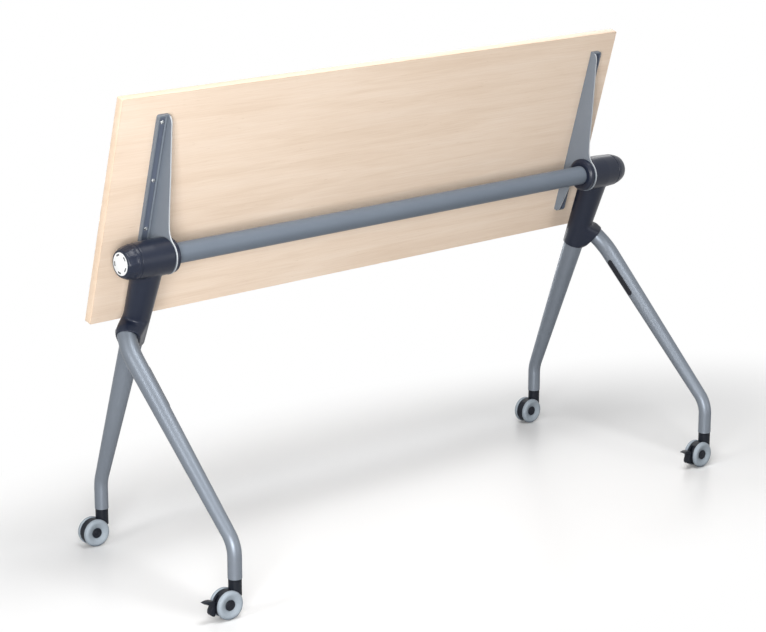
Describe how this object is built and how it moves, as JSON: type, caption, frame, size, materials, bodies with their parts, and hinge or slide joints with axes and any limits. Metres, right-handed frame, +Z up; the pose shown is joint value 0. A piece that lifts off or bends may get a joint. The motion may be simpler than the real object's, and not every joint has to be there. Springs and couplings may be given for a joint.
{
  "type": "flip top training table",
  "caption": "Flip top training table on casters, its wooden top tilted up for nesting on a beam between splayed tube leg frames.",
  "frame": {"origin": "on the floor, under the middle of the outline seen from above", "axes": "+X along the beam away from the release knob, +Y towards the rear casters and the working face of the stowed top, +Z up"},
  "size_m": [1.4934, 0.5431, 0.9802],
  "materials": {
    "maple": "satin laminate",
    "grey_paint": "satin metallic",
    "silver_paint": "satin metallic",
    "dark_plastic": "semi-gloss",
    "black_plastic": "satin",
    "white_plastic": "semi-gloss",
    "soft_grey": "matt",
    "black_rubber": "matt",
    "zinc_steel": "zinc plated"
  },
  "bodies": {
    "frame": {"beam_tube": "grey_paint", "end_cap": "dark_plastic", "lock_spring": "zinc_steel", "housing_left": "dark_plastic", "housing_right": "dark_plastic", "rear_leg_left": "silver_paint", "front_leg_left": "silver_paint", "leg_bumper_left": "black_rubber", "rear_leg_right": "silver_paint", "front_leg_right": "silver_paint", "leg_bumper_right": "black_rubber", "caster_sleeve_front_left": "black_plastic", "caster_stem_front_left": "zinc_steel", "caster_sleeve_front_right": "black_plastic", "caster_stem_front_right": "zinc_steel", "caster_sleeve_rear_left": "black_plastic", "caster_stem_rear_left": "zinc_steel", "caster_sleeve_rear_right": "black_plastic", "caster_stem_rear_right": "zinc_steel"},
    "top": {"table_top": "maple", "bracket_left": "grey_paint", "bracket_right": "grey_paint", "bracket_screw_left_1": "zinc_steel", "bracket_screw_left_2": "zinc_steel", "bracket_screw_left_3": "zinc_steel", "bracket_screw_right_1": "zinc_steel", "bracket_screw_right_2": "zinc_steel", "bracket_screw_right_3": "zinc_steel", "pivot_bush_left": "dark_plastic", "pivot_bush_right": "dark_plastic"},
    "knob": {"release_knob": "dark_plastic", "knob_face": "white_plastic"},
    "lock": {"lock_pin": "zinc_steel"},
    "caster_front_left": {"caster_hood_front_left": "black_plastic", "axle_front_left": "zinc_steel"},
    "wheel_front_left_1_set": {"wheel_front_left_1": "soft_grey", "hub_cap_front_left_1": "black_plastic"},
    "wheel_front_left_2_set": {"wheel_front_left_2": "soft_grey", "hub_cap_front_left_2": "black_plastic"},
    "brake_front_left": {"brake_pedal_front_left": "black_plastic"},
    "caster_front_right": {"caster_hood_front_right": "black_plastic", "axle_front_right": "zinc_steel"},
    "wheel_front_right_1_set": {"wheel_front_right_1": "soft_grey", "hub_cap_front_right_1": "black_plastic"},
    "wheel_front_right_2_set": {"wheel_front_right_2": "soft_grey", "hub_cap_front_right_2": "black_plastic"},
    "brake_front_right": {"brake_pedal_front_right": "black_plastic"},
    "caster_rear_left": {"caster_hood_rear_left": "black_plastic", "axle_rear_left": "zinc_steel"},
    "wheel_rear_left_1_set": {"wheel_rear_left_1": "soft_grey", "hub_cap_rear_left_1": "black_plastic"},
    "wheel_rear_left_2_set": {"wheel_rear_left_2": "soft_grey", "hub_cap_rear_left_2": "black_plastic"},
    "caster_rear_right": {"caster_hood_rear_right": "black_plastic", "axle_rear_right": "zinc_steel"},
    "wheel_rear_right_1_set": {"wheel_rear_right_1": "soft_grey", "hub_cap_rear_right_1": "black_plastic"},
    "wheel_rear_right_2_set": {"wheel_rear_right_2": "soft_grey", "hub_cap_rear_right_2": "black_plastic"}
  },
  "joints": [
    {"name": "top_tilt", "type": "hinge", "parent": "frame", "child": "top", "pos_m": [0.02565, 0.06135, 0.647], "axis": [1, 0, 0], "range_deg": [0, 74.5]},
    {"name": "release_turn", "type": "hinge", "parent": "frame", "child": "knob", "pos_m": [-0.67835, 0.06135, 0.647], "axis": [1, 0, 0], "range_deg": [0, 60], "stiffness_Nm_per_rad": 0.3},
    {"name": "lock_draw", "type": "slide", "parent": "frame", "child": "lock", "axis": [-1, 0, 0], "range_m": [0, 0.006], "deforming": ["lock_spring"]},
    {"name": "swivel_front_left", "type": "hinge", "parent": "frame", "child": "caster_front_left", "pos_m": [-0.66935, -0.25314, 0.066], "axis": [0, 0, 1], "continuous": true},
    {"name": "roll_front_left_1", "type": "hinge", "parent": "caster_front_left", "child": "wheel_front_left_1_set", "pos_m": [-0.6903, -0.25168, 0.0292], "axis": [0.0698, 0.9976, 0], "continuous": true},
    {"name": "roll_front_left_2", "type": "hinge", "parent": "caster_front_left", "child": "wheel_front_left_2_set", "pos_m": [-0.6903, -0.25168, 0.0292], "axis": [0.0698, 0.9976, 0], "continuous": true},
    {"name": "brake_front_left_press", "type": "hinge", "parent": "caster_front_left", "child": "brake_front_left", "pos_m": [-0.71225, -0.25015, 0.0312], "axis": [-0.0698, -0.9976, 0], "range_deg": [0, 12]},
    {"name": "swivel_front_right", "type": "hinge", "parent": "frame", "child": "caster_front_right", "pos_m": [0.72065, -0.25314, 0.066], "axis": [0, 0, 1], "continuous": true},
    {"name": "roll_front_right_1", "type": "hinge", "parent": "caster_front_right", "child": "wheel_front_right_1_set", "pos_m": [0.69965, -0.25314, 0.0292], "axis": [0, 1, 0], "continuous": true},
    {"name": "roll_front_right_2", "type": "hinge", "parent": "caster_front_right", "child": "wheel_front_right_2_set", "pos_m": [0.69965, -0.25314, 0.0292], "axis": [0, 1, 0], "continuous": true},
    {"name": "brake_front_right_press", "type": "hinge", "parent": "caster_front_right", "child": "brake_front_right", "pos_m": [0.67765, -0.25314, 0.0312], "axis": [0, -1, 0], "range_deg": [0, 12]},
    {"name": "swivel_rear_left", "type": "hinge", "parent": "frame", "child": "caster_rear_left", "pos_m": [-0.62235, 0.24937, 0.066], "axis": [0, 0, 1], "continuous": true},
    {"name": "roll_rear_left_1", "type": "hinge", "parent": "caster_rear_left", "child": "wheel_rear_left_1_set", "pos_m": [-0.64327, 0.2512, 0.0292], "axis": [0.0872, 0.9962, 0], "continuous": true},
    {"name": "roll_rear_left_2", "type": "hinge", "parent": "caster_rear_left", "child": "wheel_rear_left_2_set", "pos_m": [-0.64327, 0.2512, 0.0292], "axis": [0.0872, 0.9962, 0], "continuous": true},
    {"name": "swivel_rear_right", "type": "hinge", "parent": "frame", "child": "caster_rear_right", "pos_m": [0.67365, 0.24937, 0.066], "axis": [0, 0, 1], "continuous": true},
    {"name": "roll_rear_right_1", "type": "hinge", "parent": "caster_rear_right", "child": "wheel_rear_right_1_set", "pos_m": [0.65265, 0.24937, 0.0292], "axis": [0, 1, 0], "continuous": true},
    {"name": "roll_rear_right_2", "type": "hinge", "parent": "caster_rear_right", "child": "wheel_rear_right_2_set", "pos_m": [0.65265, 0.24937, 0.0292], "axis": [0, 1, 0], "continuous": true}
  ],
  "couplings": [
    {"joint": "lock_draw", "follows": "release_turn", "m_per_rad": 0.0057296}
  ]
}
